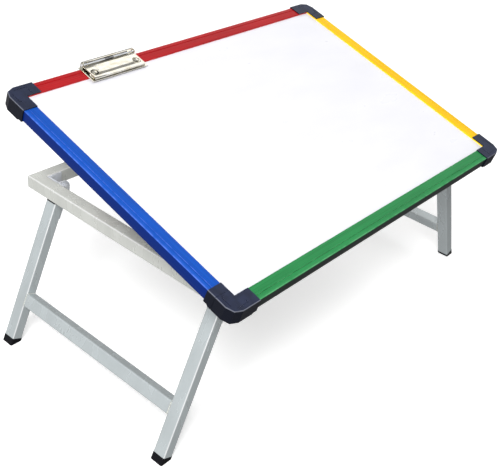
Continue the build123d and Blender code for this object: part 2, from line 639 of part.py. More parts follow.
def pivot_bolt(y):
    """Bolt with a hexagon head in front of the lug."""
    head_y = y - 0.6
    bolt = hexagon((-PIVOT_X, PIVOT_Z), head_y - HEX_H, head_y, HEX_FLATS)
    return bolt + rod("Y", (-PIVOT_X, PIVOT_Z), head_y - 0.5, y + 11.5, BOLT_R)


def pivot_nut(y):
    start = y + 1.7 + PLATE_T + 0.1
    nut = hexagon((-PIVOT_X, PIVOT_Z), start, start + NUT_H, HEX_FLATS)
    return nut - rod("Y", (-PIVOT_X, PIVOT_Z), start - 1, start + NUT_H + 1, BOLT_R)


LEG_YS = {"front": FRONT_LEG_Y, "back": BACK_LEG_Y}
left = {}
for place, y in LEG_YS.items():
    left[f"{place}_leg"] = leg_tube(y)
    left[f"{place}_foot"] = leg_foot(y)
bar_long = BACK_LEG_Y - FRONT_LEG_Y - TUBE
crossbar = Rot(90, 0, 0) * square_tube(LEG_T, TUBE, bar_long)
crossbar = Pos(LEG_T / 2, BACK_LEG_Y - TUBE / 2, -CROSSBAR_AT) * crossbar
left["leg_crossbar"] = LEFT_LEG * crossbar
left["leg_plugs"] = group(leg_plug(y) for y in LEG_YS.values())
left["leg_lugs"] = group(leg_lug(y) for y in LEG_YS.values())
left["pivot_brackets"] = group(frame_bracket(y) for y in LEG_YS.values())
left["pivot_bolts"] = group(pivot_bolt(y) for y in LEG_YS.values())
left["pivot_nuts"] = group(pivot_nut(y) for y in LEG_YS.values())
for name, shape in left.items():
    parts[f"left_{name}"] = shape
    parts[f"right_{name}"] = mirror_x(shape)

# ---- the outline's middle becomes the origin
outline = Compound(children=[Compound(s.wrapped) for s in parts.values()]).bounding_box()
CENTRE_Y = (outline.min.Y + outline.max.Y) / 2
os.makedirs("parts", exist_ok=True)
for name, shape in parts.items():
    export_step(Pos(0, -CENTRE_Y, 0) * shape, f"parts/{name}.step")
print(f"moved by {-CENTRE_Y:.3f}; size {outline.size}")
print(f"prop pivot y {pivot_y - CENTRE_Y:.3f} z {pivot_z:.3f}, rod y {rod_y - CENTRE_Y:.3f}")
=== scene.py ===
import json
import math

import bmesh
import bpy
from bpy.props import FloatProperty, FloatVectorProperty, PointerProperty
from mathutils import Matrix, Vector


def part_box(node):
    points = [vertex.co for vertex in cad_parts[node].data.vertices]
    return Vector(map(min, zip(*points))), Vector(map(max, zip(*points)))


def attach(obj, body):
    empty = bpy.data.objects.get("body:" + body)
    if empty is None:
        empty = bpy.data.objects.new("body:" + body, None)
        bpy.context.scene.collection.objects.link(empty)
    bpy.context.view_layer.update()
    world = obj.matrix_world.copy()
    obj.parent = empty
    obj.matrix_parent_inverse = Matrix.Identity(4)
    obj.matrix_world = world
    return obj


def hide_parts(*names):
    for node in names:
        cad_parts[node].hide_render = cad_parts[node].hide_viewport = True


bl_info = {
    "name": "Portable drawing board",
    "version": (1, 0, 0),
    "blender": (4, 5, 0),
    "location": "View3D > Sidebar > Drawing board",
    "description": "Builds the looks of a tilting drawing board on folding legs around its packed model",
    "category": "Object",
}

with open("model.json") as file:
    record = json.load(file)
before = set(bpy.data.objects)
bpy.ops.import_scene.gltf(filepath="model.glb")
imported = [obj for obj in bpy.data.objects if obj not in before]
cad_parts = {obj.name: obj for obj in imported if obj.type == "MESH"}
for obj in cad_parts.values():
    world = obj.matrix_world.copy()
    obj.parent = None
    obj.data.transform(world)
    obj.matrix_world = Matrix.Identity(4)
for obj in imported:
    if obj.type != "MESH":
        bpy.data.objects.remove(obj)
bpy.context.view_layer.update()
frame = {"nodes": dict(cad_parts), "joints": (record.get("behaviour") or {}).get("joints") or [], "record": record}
JOINTS = {joint["name"]: joint for joint in frame["joints"]}
MOUNTS = {mount["name"]: mount for mount in frame["record"]["mounts"]}
NODES = frame["nodes"]
MM = 0.001
SIDES = ("left", "right")

# The board's frame: its origin is the middle of the writing surface, u is X, v runs up the board.
TILT = math.radians(-JOINTS["board_tilt"]["range_deg"][0])
BOARD = Matrix.Translation(MOUNTS["writing_surface"]["pos_m"]) @ Matrix.Rotation(TILT, 4, "X")
# The leg's frame: its origin is the middle of the sole, X points inward and Z up along the leg.
SPLAY = math.radians(JOINTS["left_legs_fold"]["range_deg"][1] - 90)
MIRROR = Matrix.Scale(-1, 4, (1, 0, 0))


def leg_frame(mount):
    """Frame of the left leg that stands on a foot mount."""
    return Matrix.Translation(MOUNTS[mount]["pos_m"]) @ Matrix.Rotation(SPLAY, 4, "Y")


def local_box(node, place):
    """Lowest and highest corners of a CAD node in a turned frame."""
    turned = place.inverted()
    points = [turned @ vertex.co for vertex in NODES[node].data.vertices]
    low = Vector([min(point[i] for point in points) for i in range(3)])
    high = Vector([max(point[i] for point in points) for i in range(3)])
    return low, high


def linear(colour):
    """Linear red, green and blue of an sRGB hex colour."""
    parts = [int(colour[i:i + 2], 16) / 255 for i in (1, 3, 5)]
    return [c / 12.92 if c <= 0.04045 else ((c + 0.055) / 1.055) ** 2.4 for c in parts]


# ---- properties a user would change
def length_property(name, description, default):
    """Length that a user can change, in metres."""
    return FloatProperty(name=name, description=description, default=default, unit="LENGTH")


def colour_property(name, description, default):
    """Colour that a user can change, with its default as sRGB hex."""
    return FloatVectorProperty(
        name=name, description=description, default=linear(default), subtype="COLOR", min=0, max=1)


class DrawingBoardSizes(bpy.types.PropertyGroup):
    """Sizes of the pieces that are modelled here, in metres."""

    rail_width: length_property("Rail width", "Width of a coloured rail", 20 * MM)
    rail_height: length_property("Rail height", "Height of a coloured rail", 16 * MM)
    rail_proud: length_property("Rail lip", "Rail top above the writing surface", 2.2 * MM)
    rail_grip: length_property("Rail grip", "Depth of the slot for the panel", 8 * MM)
    panel_thick: length_property("Panel", "Thickness of the panel", 6.5 * MM)
    groove_from_inside: length_property("Groove", "Groove from the rail's inner edge", 13 * MM)
    cap_arm: length_property("Cap arm", "Corner cap past the panel's corner", 22 * MM)
    cap_side: length_property("Cap side", "Cap wall outside the rail", 2 * MM)
    cap_top: length_property("Cap top", "Cap wall above the rail", 1.4 * MM)
    cap_bottom: length_property("Cap bottom", "Cap wall below the rail", 3.5 * MM)
    cap_corner: length_property("Cap corner", "Cut across the cap's outer corner", 15 * MM)
    cap_step: length_property("Cap step", "Shallow wall at each arm's end", 7 * MM)
    cap_seam: length_property("Cap seam", "Seam past the panel's corner", 9 * MM)
    clip_sheet: length_property("Clip sheet", "Thickness of the clip's steel", 1 * MM)
    bead: length_property("Weld bead", "Radius of a weld bead", 1.3 * MM)


class DrawingBoardColours(bpy.types.PropertyGroup):
    """Colours of the finishes."""

    blue: colour_property("Blue", "Left rail", "#004CB0")
    red: colour_property("Red", "Back rail", "#A81219")
    green: colour_property("Green", "Front rail", "#258146")
    yellow: colour_property("Yellow", "Right rail", "#F5BE00")
    cap: colour_property("Corner caps", "Moulded corners", "#1F263D")
    foot: colour_property("Feet", "Feet and plugs", "#14141E")
    silver: colour_property("Frame silver", "Painted tube of the frame", "#EDEFE9")
    # painted shade: the legs' silver is a darker, cooler copy of the frame's silver
    shaded_leg_silver: colour_property("Leg silver", "Painted tube of the legs", "#CBD3D5")
    sheet: colour_property("Writing sheet", "White laminate", "#EBEBF1")


# ---- modelling helpers
def select_only(piece):
    """Makes the piece the only selected object and the active one."""
    bpy.ops.object.select_all(action="DESELECT")
    piece.select_set(True)
    bpy.context.view_layer.objects.active = piece


def primitive(name, add, **settings):
    """Adds one primitive with nothing else selected and applies its place."""
    bpy.ops.object.select_all(action="DESELECT")
    add(**settings)
    piece = bpy.context.active_object
    piece.name = name
    piece.data.name = name
    bpy.ops.object.transform_apply(location=True, rotation=True, scale=True)
    return piece


def block(name, low, high):
    """Box between its lowest and highest corners."""
    middle = [(a + b) / 2 for a, b in zip(low, high)]
    size = [b - a for a, b in zip(low, high)]
    return primitive(name, bpy.ops.mesh.primitive_cube_add, size=1, location=middle, scale=size)


def at(element, x=None, y=None, z=None, near=1e-5):
    """True if the whole vertex, edge or face lies at the given coordinates."""
    corners = getattr(element, "verts", [element])
    wanted = [(axis, value) for axis, value in enumerate((x, y, z)) if value is not None]
    return all(abs(corner.co[axis] - value) < near for corner in corners for axis, value in wanted)


def mark(piece, kind, test):
    """Leaves the piece in edit mode with only the elements that pass the test selected."""
    if piece.mode != "EDIT":
        select_only(piece)
        bpy.ops.object.mode_set(mode="EDIT")
    bpy.ops.mesh.select_mode(type=kind)
    bpy.ops.mesh.select_all(action="DESELECT")
    shape = bmesh.from_edit_mesh(piece.data)
    found = [e for e in {"VERT": shape.verts, "EDGE": shape.edges, "FACE": shape.faces}[kind] if test(e)]
    if not found:
        raise RuntimeError(f"{piece.name}: nothing of kind {kind} is where it should be")
    for element in found:
        element.select_set(True)
    bmesh.update_edit_mesh(piece.data)


def cut(piece, point, normal):
    """Cuts every face along a plane, leaving both halves."""
    mark(piece, "FACE", lambda face: True)
    bpy.ops.mesh.bisect(plane_co=point, plane_no=normal)


def extrude(value):
    """Extrudes what is selected in edit mode."""
    bpy.ops.mesh.extrude_region_move(TRANSFORM_OT_translate={"value": value})


def bevel(piece, test, offset, segments):
    """Rounds the edges that pass the test."""
    mark(piece, "EDGE", test)
    bpy.ops.mesh.bevel(offset=offset, segments=segments, affect="EDGES")


def modifier(piece, kind, **settings):
    """Adds a modifier and applies it."""
    if piece.mode == "EDIT":
        bpy.ops.object.mode_set(mode="OBJECT")
    select_only(piece)
    added = piece.modifiers.new(kind.title(), kind)
    for key, value in settings.items():
        setattr(added, key, value)
    bpy.ops.object.modifier_apply(modifier=added.name)


def carve(piece, *cutters):
    """Takes the cutters away from the piece and deletes them."""
    for cutter in cutters:
        modifier(piece, "BOOLEAN", object=cutter, operation="DIFFERENCE", solver="EXACT")
        bpy.data.objects.remove(cutter, do_unlink=True)


def clean(piece, angle=32):
    """Merges doubles, points the faces outwards and smooths the rounded stretches."""
    mark(piece, "VERT", lambda vertex: True)
    bpy.ops.mesh.remove_doubles(threshold=1e-6)
    bpy.ops.mesh.normals_make_consistent(inside=False)
    bpy.ops.object.mode_set(mode="OBJECT")
    select_only(piece)
    bpy.ops.object.shade_smooth_by_angle(angle=math.radians(angle))


def settle(piece, place, angle=32):
    """Puts a piece where it belongs and applies that, so its object stays at the origin."""
    select_only(piece)
    piece.matrix_world = place
    bpy.ops.object.transform_apply(location=True, rotation=True, scale=True)
    clean(piece, angle)
    return piece


def copy_of(piece, name):
    """Copy of a piece with its own mesh."""
    twin = piece.copy()
    twin.data = piece.data.copy()
    twin.name = name
    bpy.context.scene.collection.objects.link(twin)
    return twin


def join(name, pieces):
    """Joins the pieces into the first one."""
    bpy.ops.object.select_all(action="DESELECT")
    for piece in pieces:
        piece.select_set(True)
    bpy.context.view_layer.objects.active = pieces[0]
    bpy.ops.object.join()
    pieces[0].name = name
    return pieces[0]


def hand_over(piece, body, slot, *nodes):
    """Gives a finished piece its material and its body, and hides the CAD nodes that it stands for."""
    piece.data.materials.clear()
    piece.data.materials.append(finish_for(slot))
    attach(piece, body)
    if nodes:
        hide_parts(*nodes)


# ---- materials
def add_node(tree, kind, inputs=None, **settings):
    """Adds a shader node with its settings and its inputs, which are values or sockets to link."""
    made = tree.nodes.new(kind)
    for key, value in settings.items():
        setattr(made, key, value)
    for key, value in (inputs or {}).items():
        if isinstance(value, bpy.types.NodeSocket):
            tree.links.new(value, made.inputs[key])
        else:
            made.inputs[key].default_value = value
    return made


class Finish:
    """A material being made: its node tree, its shader and patterns measured in millimetres."""

    def __init__(self, name, **shader):
        self.material = bpy.data.materials.new(name)
        self.material.use_nodes = True
        self.tree = self.material.node_tree
        self.tree.nodes.clear()
        self.shader = add_node(self.tree, "ShaderNodeBsdfPrincipled", shader)
        add_node(self.tree, "ShaderNodeOutputMaterial", {"Surface": self.shader.outputs[0]})
        self.place = add_node(self.tree, "ShaderNodeTexCoord").outputs["Object"]

    def grain(self, size, turn=(0, 0, 0), detail=2.0, roughness=0.5):
        """Noise whose features have the given size along X, Y and Z, in millimetres."""
        mapping = add_node(
            self.tree, "ShaderNodeMapping",
            {"Vector": self.place, "Rotation": turn, "Scale": [s * MM for s in size]},
            vector_type="TEXTURE")
        noise = add_node(
            self.tree, "ShaderNodeTexNoise",
            {"Vector": mapping.outputs[0], "Scale": 1.0, "Detail": detail, "Roughness": roughness})
        return noise.outputs["Fac"]

    def between(self, factor, low, high, start=0.0, end=1.0):
        """Number that goes from start to end while the factor goes from low to high."""
        span = add_node(
            self.tree, "ShaderNodeMapRange",
            {"Value": factor, "From Min": low, "From Max": high, "To Min": start, "To Max": end})
        return span.outputs["Result"]

    def colours(self, factor, first, second):
        """Mix of two colours."""
        mix = add_node(self.tree, "ShaderNodeMix", {"Factor": factor}, data_type="RGBA")
        ends = [socket for socket in mix.inputs if socket.type == "RGBA"]
        for socket, colour in zip(ends, (first, second)):
            if isinstance(colour, bpy.types.NodeSocket):
                self.tree.links.new(colour, socket)
            else:
                socket.default_value = (*colour, 1)
        return [socket for socket in mix.outputs if socket.type == "RGBA"][0]

    def facing(self, direction):
        """How far the surface faces a direction fixed to the object, from -1 to 1."""
        normal = add_node(self.tree, "ShaderNodeTexCoord").outputs["Normal"]
        dot = add_node(
            self.tree, "ShaderNodeVectorMath", {0: normal, 1: direction}, operation="DOT_PRODUCT")
        return dot.outputs["Value"]

    def times(self, first, second):
        """Product of two numbers."""
        product = add_node(self.tree, "ShaderNodeMath", {0: first, 1: second}, operation="MULTIPLY")
        return product.outputs[0]

    def relief(self, height, depth, normal=None):
        """Bump of the given depth in millimetres."""
        inputs = {"Height": height, "Strength": 1.0, "Distance": depth * MM}
        if normal is not None:
            inputs["Normal"] = normal
        return add_node(self.tree, "ShaderNodeBump", inputs).outputs["Normal"]

    def link(self, **sockets):
        """Links the patterns to the shader and returns the finished material."""
        for key, value in sockets.items():
            self.tree.links.new(value, self.shader.inputs[key.replace("_", " ")])
        return self.material


def shade(colour, amount):
    """Colour made lighter or darker."""
    return [min(1, c * amount) for c in colour]


def silver_enamel(name, colour, corners):
    """Silver enamel on drawn steel tube: satin, soft streaks, faint orange peel and painted highlights along the
    corners.
    """
    finish = Finish(name, Metallic=0.35, **{"Coat Weight": 0.3, "Coat Roughness": 0.12})
    peel = finish.grain((1.6, 1.6, 1.6), detail=2)
    streak = finish.grain((22, 22, 90), detail=4)
    grime = finish.grain((5, 5, 5), detail=4, roughness=0.65)
    tone = finish.colours(finish.between(streak, 0.3, 0.7), shade(colour, 0.94), shade(colour, 1.04))
    tone = finish.colours(finish.between(grime, 0.55, 0.8, 0, 0.2), tone, shade(colour, 0.6))
    for corner in corners:
        # painted highlight: the colour turns whiter where the surface faces one of the corner directions
        painted_corner_highlight = finish.between(finish.facing(Vector(corner).normalized()), 0.9, 0.98, 0, 0.75)
        tone = finish.colours(painted_corner_highlight, tone, (1, 1, 1))
    rough = finish.between(streak, 0.3, 0.7, 0.2, 0.32)
    return finish.link(Base_Color=tone, Roughness=rough, Normal=finish.relief(peel, 0.06))


def extruded_colour(name, colour, wall, inward):
    """Coloured lacquer on an extruded rail: draw lines, pale edges as painted highlights broken up in patches, and
    walls painted in a deeper tone as shade.
    """
    finish = Finish(name, **{"Specular IOR Level": 0.12})
    along_x, turn = inward.x == 0, (TILT, 0, 0)
    lines = finish.grain((160, 0.9, 0.9) if along_x else (0.9, 160, 0.9), turn=turn, detail=2)
    patch = finish.grain((70, 22, 22) if along_x else (22, 70, 22), turn=turn, detail=3)
    rub = finish.grain((9, 9, 9), turn=turn, detail=3)
    facing = finish.facing(BOARD.to_3x3() @ (inward * 0.6 + Vector((0, 0, 0.8))))
    top = finish.colours(finish.between(lines, 0.3, 0.7), shade(colour, 0.84), shade(colour, 1.14))
    top = finish.colours(finish.between(patch, 0.45, 0.75, 0, 0.3), top, shade(colour, 1.45))
    # painted highlight: the edges between top and walls turn paler, broken up in patches by the rub noise
    edge = finish.times(finish.between(facing, -0.35, 0.0), finish.between(facing, 0.79, 0.62))
    broken_edge_highlight = finish.times(edge, finish.between(rub, 0.35, 0.6, 0.25, 0.75))
    # painted shade: the colour turns to the deeper wall colour where the surface faces away from up and inward
    body = finish.colours(finish.between(facing, -0.45, 0.1), wall, top)
    tone = finish.colours(broken_edge_highlight, body, [min(1, c * 1.5 + 0.1) for c in colour])
    rough = finish.between(lines, 0.3, 0.7, 0.26, 0.42)
    return finish.link(Base_Color=tone, Roughness=rough, Normal=finish.relief(lines, 0.03))


def moulded_black(name, colour, grain_size, rough, rim=0.0):
    """Moulded polypropylene: eroded grain, dusty where it faces up, darkened to near black below as painted shade,
    with pale rims painted as highlights.
    """
    finish = Finish(name, **{"Specular IOR Level": 0.2})
    texture = finish.grain((grain_size, grain_size, grain_size), detail=3, roughness=0.6)
    cloud = finish.grain((14, 14, 14), detail=3)
    # painted shade: the colour falls to near black as the surface turns from facing up to facing down
    up = finish.between(finish.facing((0, 0, 1)), 0.25, 0.85)
    dusty = finish.colours(finish.between(cloud, 0.35, 0.7), shade(colour, 0.8), shade(colour, 1.3))
    tone = finish.colours(up, shade(colour, 0.3), dusty)
    # painted highlight: a pale rim, as strong as rim, where the surface turns from the board's top towards its
    # walls
    facing = finish.facing(BOARD.to_3x3() @ Vector((0, 0, 1)))
    edge = finish.times(finish.between(facing, 0.35, 0.55, 0, rim), finish.between(facing, 0.96, 0.88))
    tone = finish.colours(edge, tone, linear("#C8CCDA"))
    gloss = finish.between(texture, 0.3, 0.7, rough - 0.1, rough + 0.12)
    return finish.link(Base_Color=tone, Roughness=gloss, Normal=finish.relief(texture, 0.12))


def white_laminate(colour):
    """White melamine writing sheet: smooth and glossy, with a trace of wiped-off marks."""
    coat = {"Coat Weight": 0.2, "Coat Roughness": 0.12}
    finish = Finish("white_melamine_sheet", Roughness=0.3, IOR=1.5, **coat)
    wipe = finish.grain((90, 35, 60), turn=(TILT, 0, 0), detail=4)
    peel = finish.grain((1.5, 1.5, 1.5), detail=1)
    tone = finish.colours(finish.between(wipe, 0.3, 0.75), colour, shade(colour, 0.965))
    rough = finish.between(wipe, 0.3, 0.7, 0.26, 0.4)
    return finish.link(Base_Color=tone, Roughness=rough, Normal=finish.relief(peel, 0.01))


def zinc_plate():
    """Bright zinc plate on steel: fine polish lines and a faint blue to yellow drift."""
    finish = Finish("bright_zinc_plate", Metallic=0.2)
    drift = finish.grain((9, 9, 9), detail=3)
    lines = finish.grain((0.35, 6, 0.35), detail=2)
    tone = finish.colours(finish.between(drift, 0.35, 0.65), linear("#F0F4FC"), linear("#E2E5EA"))
    rough = finish.between(lines, 0.3, 0.7, 0.25, 0.42)
    return finish.link(Base_Color=tone, Roughness=rough, Normal=finish.relief(lines, 0.02))


def nickel_sheet():
    """Nickel plated spring sheet: mirror bright, warm in tone, with smudges and hairlines."""
    finish = Finish("nickel_plated_sheet", Metallic=1.0, Roughness=0.1)
    smudge = finish.grain((12, 7, 7), turn=(TILT, 0, 0), detail=4)
    hairs = finish.grain((14, 0.3, 0.3), turn=(TILT, 0, 0), detail=2)
    ripple = finish.grain((26, 16, 16), turn=(TILT, 0, 0), detail=1)
    tone = finish.colours(finish.between(smudge, 0.35, 0.7), linear("#EFEDE4"), linear("#D9D2BE"))
    rough = finish.between(smudge, 0.3, 0.75, 0.05, 0.2)
    bumps = finish.relief(hairs, 0.006, finish.relief(ripple, 0.35))
    return finish.link(Base_Color=tone, Roughness=rough, Normal=bumps)


def spring_wire():
    """Oil tempered spring wire: dark grey steel."""
    finish = Finish("oil_tempered_wire", Metallic=1.0, Roughness=0.35)
    scale = finish.grain((1.2, 1.2, 1.2), detail=2)
    tone = finish.colours(finish.between(scale, 0.3, 0.7), linear("#5C5C60"), linear("#7A7874"))
    return finish.link(Base_Color=tone)


def fibreboard():
    """Pressed hardboard core: brown, with matted fibres."""
    finish = Finish("pressed_hardboard", Roughness=0.8)
    fibres = finish.grain((6, 1.2, 1.2), detail=4, roughness=0.7)
    tone = finish.colours(finish.between(fibres, 0.3, 0.7), linear("#6B4A2E"), linear("#8C6743"))
    return finish.link(Base_Color=tone, Normal=finish.relief(fibres, 0.15))


def backing_paper():
    """Grey paper-faced backing: matt, with soft fibre clouds."""
    finish = Finish("grey_backing_paper", Roughness=0.75)
    cloud = finish.grain((30, 30, 30), detail=5)
    fibres = finish.grain((2.5, 0.6, 0.6), detail=3)
    tone = finish.colours(finish.between(cloud, 0.3, 0.7), linear("#C4C4C2"), linear("#D3D3D0"))
    return finish.link(Base_Color=tone, Normal=finish.relief(fibres, 0.04))


def soft_rubber():
    """Moulded rubber: matt black with a dusty bloom."""
    finish = Finish("moulded_rubber", Roughness=0.7)
    bloom = finish.grain((3, 3, 3), detail=3)
    tone = finish.colours(finish.between(bloom, 0.35, 0.75), linear("#141416"), linear("#2A2A2C"))
    return finish.link(Base_Color=tone, Normal=finish.relief(bloom, 0.05))


def weld_metal(colour):
    """Painted weld bead: the tube's enamel, darker in the hollows between the ripples."""
    finish = Finish("painted_weld", Metallic=0.25, Roughness=0.45)
    ripple = finish.grain((0.9, 0.9, 0.9), detail=2)
    tone = finish.colours(finish.between(ripple, 0.35, 0.65), shade(colour, 0.5), shade(colour, 0.95))
    return finish.link(Base_Color=tone, Normal=finish.relief(ripple, 0.15))


def make_finishes(colours):
    """One finish for each material slot of the record, one for the legs and one for weld beads."""
    # the painted corner highlights follow the directions in which the tubes' corners point
    frame_corners = [(-1, 0, 1), (1, 0, 1), (0, -1, 1), (0, 1, 1)]
    outward, upward = math.cos(SPLAY), math.sin(SPLAY)
    leg_corners = [(x * outward, y, upward) for x in (-1, 1) for y in (-1, 1)]
    return {
        "silver_tube": silver_enamel("warm_silver_enamel_on_steel", colours.silver, frame_corners),
        # painted shade: the legs wear the darker copy of the silver
        "shaded_leg_tube": silver_enamel("shaded_cool_silver_enamel_on_steel", colours.shaded_leg_silver, leg_corners),
        "zinc_steel": zinc_plate(),
        "spring_steel": spring_wire(),
        "clip_chrome": nickel_sheet(),
        "black_plastic": moulded_black("foot_polypropylene", colours.foot, 0.5, 0.45),
        # rim sets the strength of the caps' painted rim highlight
        "corner_plastic": moulded_black("corner_polypropylene", colours.cap, 0.8, 0.38, rim=0.6),
        "buffer_rubber": soft_rubber(),
        "white_laminate": white_laminate(colours.sheet),
        "fibreboard": fibreboard(),
        "backing_grey": backing_paper(),
        # the second colour of each rail is the painted shade of its walls
        "green_rail": extruded_colour(
            "green_lacquered_rail", colours.green, linear("#1A2623"), Vector((0, 1, 0))),
        "red_rail": extruded_colour(
            "red_lacquered_rail", colours.red, linear("#8E171B"), Vector((0, -1, 0))),
        "blue_rail": extruded_colour(
            "blue_lacquered_rail", colours.blue, linear("#02297C"), Vector((1, 0, 0))),
        "yellow_rail": extruded_colour(
            "yellow_lacquered_rail", colours.yellow, linear("#F1A008"), Vector((-1, 0, 0))),
        "weld": weld_metal(colours.silver),
    }


FINISHES = {}


def finish_for(slot):
    """Finish of a material slot; all of them are made when the first is asked for."""
    if not FINISHES:
        FINISHES.update(make_finishes(bpy.context.scene.drawing_board_colours))
    return FINISHES[slot]


# ---- pieces
# rails
GROOVE_HALF = 0.6 * MM
GROOVE_DEEP = 0.9 * MM
RAIL_OUTER_ROUND = 1.5 * MM
RAIL_ROUND = 0.6 * MM
# corner caps
STEP_HALF = 1.5 * MM         # half the slope between the deep and the shallow wall
STEP_LEFT = 0.9 * MM         # how far the shallow wall still reaches below the rail
CAP_LEAN = 0.985             # top outline against the wall's foot
CAP_ROUND = 0.9 * MM
CAP_CHAMFER = 0.25 * MM
CAP_PLAY = 0.1 * MM          # room round the rails and the panel
PAST = 1 * MM                # how far a cutter reaches past the piece
MOULD_LINE_IN = 6.5 * MM     # moulded grooves, from the outer wall
MOULD_LINE = 0.7 * MM
MOULD_DEEP = 0.5 * MM
MOULD_ENDS = (-9 * MM, 7 * MM)
MOULD_HOOK = 4 * MM
SEAM_DEEP = 0.8 * MM
# clip
ROLL_PLAY = 0.03 * MM
PLATE_RISE = 2.6 * MM        # middle of the plate above the jaw's edge
BEND = 0.9 * MM
CLIP_CHAMFER = 0.22 * MM
RIVET_PLAY = 1.6 * MM
# pivot bolts
CROWN = 0.5 * MM             # height of a bolt head's crown
HEX_CHAMFER = 0.35 * MM
HEX_RIM = 0.2 * MM           # only a hexagon's corners lie this far past its flats
SHANK_RADIUS = 3 * MM
SHANK_ROUND = 0.4 * MM
SHANK_INTO_HEAD = 2 * MM
SHANK_PAST_HEAD = 11 * MM
# weld beads
WELD_ENDS = 2 * MM           # bare ends of a seam on the legs
GUIDE_WELD = 8 * MM
GUIDE_WELD_FOOT = 1 * MM
# stage, in metres, watts and degrees
FLOOR_SIZE = 30
FLOOR_GLOW = 0.42
SKY_BRIGHT_SIDE = (-0.78, 0.3, 0.4)
SKY_DIMMEST = 0.19
SKY_BRIGHTEST = 0.52
LIGHTS = (                   # name, place, width, power
    ("key_softbox", (-1.85, -1.05, 2.45), 1.1, 76),
    ("clip_card", (1.75, 0.4, 2.15), 2.3, 17),
    ("front_card", (-1.5, -2.2, 0.6), 1.1, 15),
)
LIGHTS_AIM = Vector((0, 0, 0.2))
CAMERA_LENS = 61.8           # millimetres
CAMERA_SENSOR = 36
CAMERA_PLACE = (-0.8733, -0.6633, 0.8163)
CAMERA_TURN = (51.75, -32.77, 6.05)   # yaw from +Y towards +X, pitch, roll


def rail(sizes, name, length):
    """Rail along X with its inner edge on Y = 0 and the writing surface at Z = 0."""
    wide, top = sizes.rail_width, sizes.rail_proud
    low = top - sizes.rail_height
    bar = block(name, (-length / 2, -wide, low), (length / 2, 0, top))
    # a V groove runs along the top
    line = -sizes.groove_from_inside
    for y in (line - GROOVE_HALF, line, line + GROOVE_HALF):
        cut(bar, (0, y, 0), (0, 1, 0))
    mark(bar, "VERT", lambda vertex: at(vertex, y=line, z=top))
    bpy.ops.transform.translate(value=(0, 0, -GROOVE_DEEP))
    # the panel sits in a slot in the inner wall
    thick = sizes.panel_thick
    for z in (0, -thick):
        cut(bar, (0, 0, z), (0, 0, 1))
    mark(bar, "FACE", lambda face: at(face, y=0) and -thick < face.calc_center_median().z < 0)
    extrude((0, -sizes.rail_grip, 0))
    bevel(bar, lambda edge: at(edge, y=-wide, z=top), RAIL_OUTER_ROUND, 5)
    for y, z in ((0, top), (-wide, low), (0, low)):
        bevel(bar, lambda edge: at(edge, y=y, z=z), RAIL_ROUND, 3)
    return bar


def corner_cap(sizes, name):
    """Corner cap over the ends of two rails, with its inner corner at the origin."""
    out, arm = sizes.rail_width + sizes.cap_side, sizes.cap_arm
    top = sizes.rail_proud + sizes.cap_top
    low = sizes.rail_proud - sizes.rail_height - sizes.cap_bottom
    cap = block(name, (-out, -out, low), (arm, 0, top))
    cut(cap, (0, 0, 0), (1, 0, 0))
    mark(cap, "FACE", lambda face: at(face, y=0) and face.calc_center_median().x < 0)
    extrude((0, arm, 0))
    bevel(cap, lambda edge: at(edge, x=-out, y=-out), sizes.cap_corner, 2)
    # the walls are deepest round the corner and step up towards each arm's end
    step = arm - sizes.cap_step
    for axis, normal in ((0, (1, 0, 0)), (1, (0, 1, 0))):
        for offset in (step - STEP_HALF, step + STEP_HALF):
            cut(cap, [offset * n for n in normal], normal)
        mark(cap, "VERT", lambda vertex: at(vertex, z=low) and vertex.co[axis] > step)
        bpy.ops.transform.translate(value=(0, 0, sizes.cap_bottom - STEP_LEFT))
    # the walls lean out from the top edge down
    edge_zone = -sizes.rail_width / 2
    mark(cap, "VERT", lambda vertex: at(vertex, z=top) and min(vertex.co.x, vertex.co.y) < edge_zone)
    bpy.ops.transform.resize(value=(CAP_LEAN, CAP_LEAN, 1), center_override=(arm, arm, top))

    def outward(edge, z):
        """True for an edge at a height that borders a wall on the outside."""
        return at(edge, z=z) and any(min(face.normal.x, face.normal.y) < -0.3 for face in edge.link_faces)

    bevel(cap, lambda edge: outward(edge, top), CAP_ROUND, 2)
    bevel(cap, lambda edge: outward(edge, low), CAP_ROUND, 2)
    bpy.ops.object.mode_set(mode="OBJECT")
    # room for the two rails and the panel's corner
    grip = sizes.rail_grip + CAP_PLAY
    under = sizes.rail_proud - sizes.rail_height
    far, over, wide = arm + PAST, CAP_PLAY, sizes.rail_width
    carve(
        cap,
        block("cutter", (0, -wide, under), (far, over, sizes.rail_proud)),
        block("cutter", (-wide, 0, under), (over, far, sizes.rail_proud)),
        block("cutter", (-grip, -grip, -sizes.panel_thick), (far, far, 0)))
    # short moulded grooves in the top, parallel to the outer edges, and a seam across one arm
    line, floor, seam = -out + MOULD_LINE_IN, top - MOULD_DEEP, sizes.cap_seam
    start, end = MOULD_ENDS
    carve(
        cap,
        block("cutter", (start, line, floor), (end, line + MOULD_LINE, top + over)),
        block("cutter", (end - MOULD_LINE, line, floor), (end, line + MOULD_HOOK, top + over)),
        block("cutter", (line, start, floor), (line + MOULD_LINE, end, top + over)),
        block("cutter", (line, end - MOULD_LINE, floor), (line + MOULD_HOOK, end, top + over)),
        block("cutter", (-far, seam, floor), (over, seam + MOULD_LINE, top + over)),
        block("cutter", (-far, seam, low - over), (-out + SEAM_DEEP, seam + MOULD_LINE, top)))
    modifier(cap, "BEVEL", width=CAP_CHAMFER, segments=1, limit_method="ANGLE", angle_limit=math.radians(60))
    return cap


